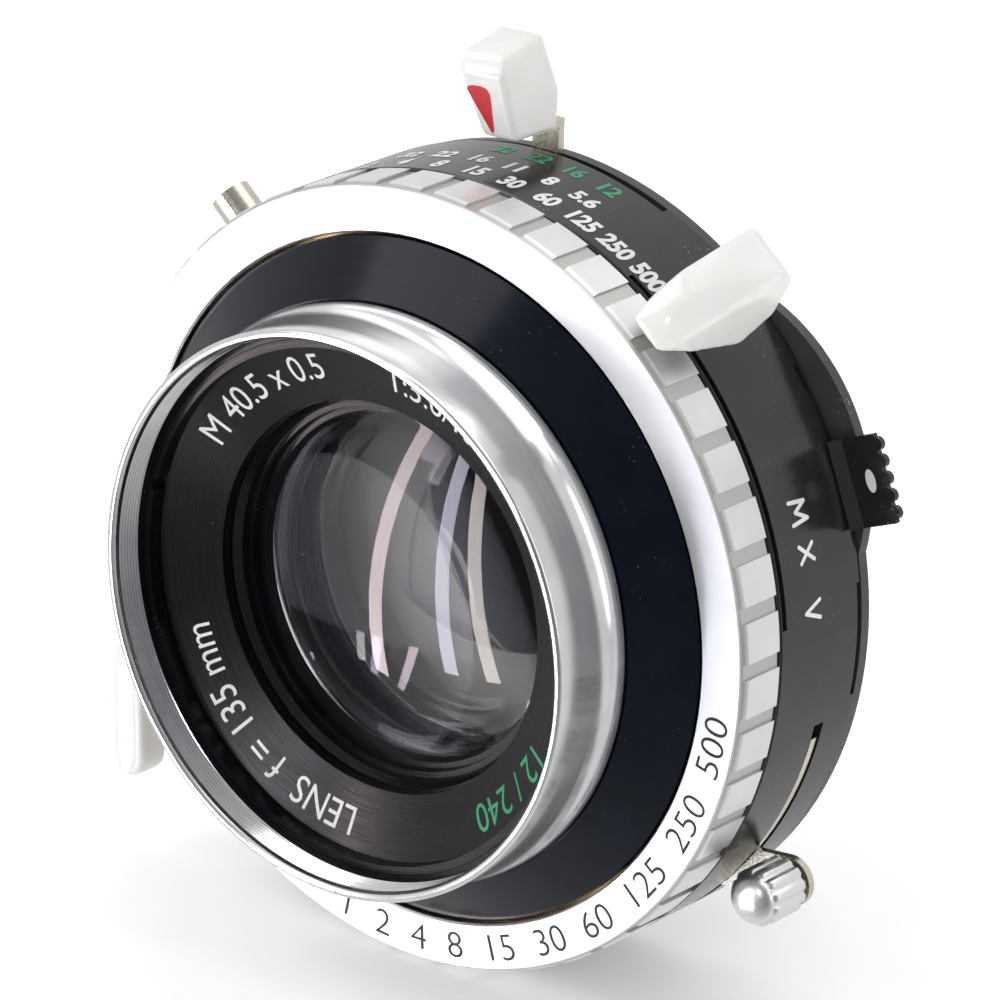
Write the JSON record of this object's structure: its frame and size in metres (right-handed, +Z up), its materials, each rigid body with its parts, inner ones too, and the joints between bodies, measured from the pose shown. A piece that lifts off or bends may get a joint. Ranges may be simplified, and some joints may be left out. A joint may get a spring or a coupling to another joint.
{
  "type": "view camera lens in leaf shutter",
  "caption": "Lens for a large-format camera, built into a leaf shutter with a fluted speed ring, lever controls, a flash socket and a rear mounting thread.",
  "frame": {"origin": "on the optical axis, in the plane of the rear seat that rests on the lens board", "axes": "+Y along the optical axis towards the rear, -Y towards the subject, +Z up through the aperture lever, +X to the right as seen from the front"},
  "size_m": [0.0651, 0.0387, 0.0682],
  "materials": {
    "chrome": "polished chrome plate",
    "satin_chrome": "satin chrome plate",
    "black_enamel": "gloss black enamel",
    "black_anodised": "black finish, semi gloss",
    "brass": "turned brass",
    "steel": "stamped steel",
    "blade_steel": "blackened spring steel",
    "glass": "coated optical glass",
    "white_plastic": "moulded white plastic",
    "insulator": "moulded insulator",
    "nickel": "nickel plate"
  },
  "bodies": {
    "shutter": {"front_barrel": "chrome", "front_retaining_ring": "black_anodised", "name_ring": "black_anodised", "front_baffle": "black_anodised", "front_element_1": "glass", "front_element_2": "glass", "front_element_3": "glass", "front_spacer": "black_anodised", "rear_barrel": "black_anodised", "rear_element_4": "glass", "rear_element_5": "glass", "rear_element_6": "glass", "rear_spacer": "black_anodised", "rear_retaining_ring": "black_anodised", "case_body": "black_enamel", "rear_plate": "black_enamel", "rear_screws": "steel", "front_plate": "brass", "front_cover": "black_enamel", "cover_lock_ring": "brass", "blade_plate": "blade_steel", "blade_spacer": "blade_steel", "iris_plate": "blade_steel", "iris_spacer": "blade_steel", "main_spring": "steel", "preview_stud": "steel", "train_arbors": "steel", "flash_socket": "nickel", "flash_insulator": "insulator", "flash_contact": "nickel", "cable_socket": "brass"},
    "speed_ring": {"speed_ring": "satin_chrome", "speed_cam_disc": "brass"},
    "aperture_ring": {"iris_ring": "brass", "aperture_lever": "nickel", "aperture_knob": "white_plastic"},
    "cocking_lever": {"cocking_lever": "steel", "cocking_tip": "white_plastic"},
    "release_lever": {"release_lever": "nickel", "release_knob": "nickel"},
    "sync_lever": {"sync_lever": "black_enamel"},
    "preview_lever": {"preview_lever": "nickel", "preview_tip": "white_plastic"},
    "blade_drive_ring": {"blade_drive_ring": "brass"},
    "retard_wheel": {"retard_wheel": "brass"},
    "escape_wheel": {"escape_wheel": "brass"},
    "pallet": {"pallet": "steel"},
    "shutter_blade_1": {"shutter_blade_1": "blade_steel"},
    "shutter_blade_2": {"shutter_blade_2": "blade_steel"},
    "shutter_blade_3": {"shutter_blade_3": "blade_steel"},
    "shutter_blade_4": {"shutter_blade_4": "blade_steel"},
    "shutter_blade_5": {"shutter_blade_5": "blade_steel"},
    "iris_blade_1": {"iris_blade_1": "blade_steel"},
    "iris_blade_2": {"iris_blade_2": "blade_steel"},
    "iris_blade_3": {"iris_blade_3": "blade_steel"},
    "iris_blade_4": {"iris_blade_4": "blade_steel"},
    "iris_blade_5": {"iris_blade_5": "blade_steel"}
  },
  "joints": [
    {"name": "speed_ring_turn", "type": "hinge", "parent": "shutter", "child": "speed_ring", "pos_m": [0, 0, 0], "axis": [0, -1, 0], "range_deg": [0, 64.5]},
    {"name": "aperture_turn", "type": "hinge", "parent": "shutter", "child": "aperture_ring", "pos_m": [0, 0, 0], "axis": [0, -1, 0], "range_deg": [-14.1, 24.2]},
    {"name": "cocking_turn", "type": "hinge", "parent": "shutter", "child": "cocking_lever", "pos_m": [0, 0, 0], "axis": [0, -1, 0], "range_deg": [-40.5, 0], "stiffness_Nm_per_rad": 0.03, "springref_deg": 28.65},
    {"name": "release_press", "type": "hinge", "parent": "shutter", "child": "release_lever", "pos_m": [0.01017, 0, -0.02284], "axis": [0, -1, 0], "range_deg": [-12, 0], "stiffness_Nm_per_rad": 0.01, "springref_deg": 17.19},
    {"name": "sync_turn", "type": "hinge", "parent": "shutter", "child": "sync_lever", "pos_m": [0, 0, 0], "axis": [0, -1, 0], "range_deg": [-14.5, 0]},
    {"name": "preview_turn", "type": "hinge", "parent": "shutter", "child": "preview_lever", "pos_m": [-0.02462, 0, -0.00434], "axis": [0, -1, 0], "range_deg": [0, 8]},
    {"name": "blade_drive_turn", "type": "hinge", "parent": "shutter", "child": "blade_drive_ring", "pos_m": [0, 0, 0], "axis": [0, -1, 0], "range_deg": [-6, 0]},
    {"name": "shutter_blade_1_swing", "type": "hinge", "parent": "shutter", "child": "shutter_blade_1", "pos_m": [0.02045, 0, -0.00664], "axis": [0, -1, 0], "range_deg": [-33.9, 0]},
    {"name": "shutter_blade_2_swing", "type": "hinge", "parent": "shutter", "child": "shutter_blade_2", "pos_m": [0.01264, 0, 0.01739], "axis": [0, -1, 0], "range_deg": [-33.9, 0]},
    {"name": "shutter_blade_3_swing", "type": "hinge", "parent": "shutter", "child": "shutter_blade_3", "pos_m": [-0.01264, 0, 0.01739], "axis": [0, -1, 0], "range_deg": [-33.9, 0]},
    {"name": "shutter_blade_4_swing", "type": "hinge", "parent": "shutter", "child": "shutter_blade_4", "pos_m": [-0.02045, 0, -0.00664], "axis": [0, -1, 0], "range_deg": [-33.9, 0]},
    {"name": "shutter_blade_5_swing", "type": "hinge", "parent": "shutter", "child": "shutter_blade_5", "pos_m": [0, 0, -0.0215], "axis": [0, -1, 0], "range_deg": [-33.9, 0]},
    {"name": "iris_blade_1_swing", "type": "hinge", "parent": "shutter", "child": "iris_blade_1", "pos_m": [0.02045, 0, 0.00664], "axis": [0, -1, 0], "range_deg": [-16.5, 9.6]},
    {"name": "iris_blade_2_swing", "type": "hinge", "parent": "shutter", "child": "iris_blade_2", "pos_m": [0, 0, 0.0215], "axis": [0, -1, 0], "range_deg": [-16.5, 9.6]},
    {"name": "iris_blade_3_swing", "type": "hinge", "parent": "shutter", "child": "iris_blade_3", "pos_m": [-0.02045, 0, 0.00664], "axis": [0, -1, 0], "range_deg": [-16.5, 9.6]},
    {"name": "iris_blade_4_swing", "type": "hinge", "parent": "shutter", "child": "iris_blade_4", "pos_m": [-0.01264, 0, -0.01739], "axis": [0, -1, 0], "range_deg": [-16.5, 9.6]},
    {"name": "iris_blade_5_swing", "type": "hinge", "parent": "shutter", "child": "iris_blade_5", "pos_m": [0.01264, 0, -0.01739], "axis": [0, -1, 0], "range_deg": [-16.5, 9.6]},
    {"name": "retard_wheel_spin", "type": "hinge", "parent": "shutter", "child": "retard_wheel", "pos_m": [-0.01256, 0, -0.0201], "axis": [0, -1, 0], "continuous": true},
    {"name": "escape_wheel_spin", "type": "hinge", "parent": "shutter", "child": "escape_wheel", "pos_m": [-0.00842, 0, -0.02215], "axis": [0, -1, 0], "continuous": true},
    {"name": "pallet_rock", "type": "hinge", "parent": "shutter", "child": "pallet", "pos_m": [-0.00363, 0, -0.02342], "axis": [0, -1, 0], "range_deg": [-3, 3]}
  ],
  "couplings": [
    {"joint": "shutter_blade_1_swing", "follows": "blade_drive_turn", "ratio": 5.65},
    {"joint": "shutter_blade_2_swing", "follows": "blade_drive_turn", "ratio": 5.65},
    {"joint": "shutter_blade_3_swing", "follows": "blade_drive_turn", "ratio": 5.65},
    {"joint": "shutter_blade_4_swing", "follows": "blade_drive_turn", "ratio": 5.65},
    {"joint": "shutter_blade_5_swing", "follows": "blade_drive_turn", "ratio": 5.65},
    {"joint": "iris_blade_1_swing", "follows": "aperture_turn", "ratio": -0.676},
    {"joint": "iris_blade_2_swing", "follows": "aperture_turn", "ratio": -0.676},
    {"joint": "iris_blade_3_swing", "follows": "aperture_turn", "ratio": -0.676},
    {"joint": "iris_blade_4_swing", "follows": "aperture_turn", "ratio": -0.676},
    {"joint": "iris_blade_5_swing", "follows": "aperture_turn", "ratio": -0.676},
    {"joint": "escape_wheel_spin", "follows": "retard_wheel_spin", "ratio": -2}
  ]
}
